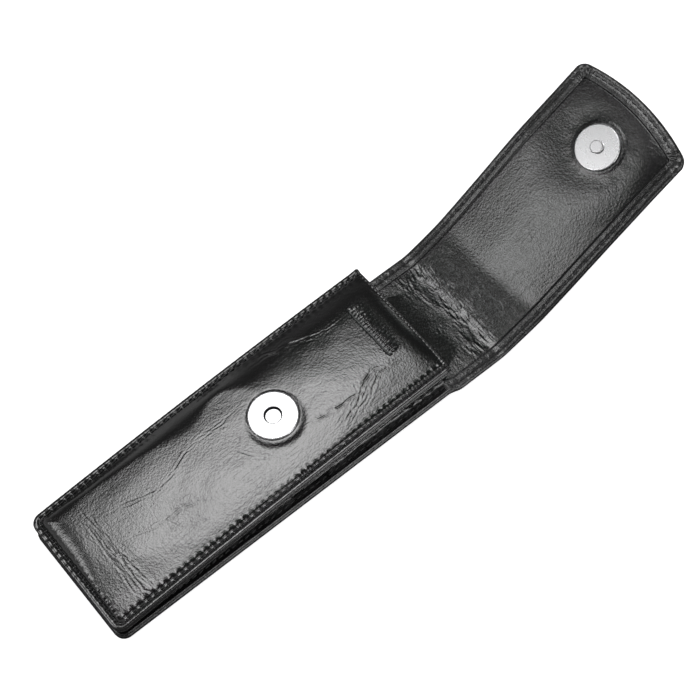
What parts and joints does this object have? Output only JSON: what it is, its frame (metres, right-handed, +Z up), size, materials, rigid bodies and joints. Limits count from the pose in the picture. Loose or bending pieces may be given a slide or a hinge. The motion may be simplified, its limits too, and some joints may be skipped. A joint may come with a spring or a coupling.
{
  "type": "fountain pen case",
  "caption": "Flat leather pen case with a gusseted pocket, an inner divider and a fold-over flap that closes on the front with a magnetic snap.",
  "frame": {"origin": "centre of the back panel's flat resting face, between its stitched side edges and midway between bottom edge and mouth", "axes": "+X across the case, +Y from the bottom edge towards the mouth and flap, +Z up from the resting face through the front"},
  "size_m": [0.0544, 0.2548, 0.0514],
  "materials": {
    "outer_leather": "smooth black calf leather, semi-gloss",
    "lining_leather": "thin black lining leather, semi-gloss",
    "board": "fibre board, matte",
    "thread": "waxed black thread",
    "snap_nickel": "nickel plate, satin",
    "snap_steel": "zinc plated",
    "magnet": "ferrite, matte"
  },
  "bodies": {
    "case": {"back_panel": "outer_leather", "back_stiffener": "board", "back_lining": "lining_leather", "gusset": "outer_leather", "front_panel": "outer_leather", "front_stiffener": "board", "front_lining": "lining_leather", "pen_divider": "lining_leather", "front_stitching": "thread", "back_stitching": "thread", "divider_stitching": "thread", "socket_cover": "snap_nickel", "socket_magnet": "magnet", "socket_base": "snap_steel", "socket_post": "snap_nickel", "socket_washer": "snap_steel"},
    "spine": {"spine_leather": "outer_leather", "spine_lining": "lining_leather", "spine_stitching": "thread"},
    "flap": {"flap_leather": "outer_leather", "flap_stiffener": "board", "flap_lining": "lining_leather", "flap_stitching": "thread", "stud_plate": "snap_nickel", "stud_post": "snap_nickel", "stud_legs": "snap_steel", "stud_washer": "snap_steel"}
  },
  "joints": [
    {"name": "spine_fold", "type": "hinge", "parent": "case", "child": "spine", "pos_m": [0, 0.0819, 0.0021], "axis": [1, 0, 0], "range_deg": [0, 85]},
    {"name": "flap_fold", "type": "hinge", "parent": "spine", "child": "flap", "pos_m": [0, 0.10534, 0.00591], "axis": [1, 0, 0], "range_deg": [-32, 67.6]}
  ]
}
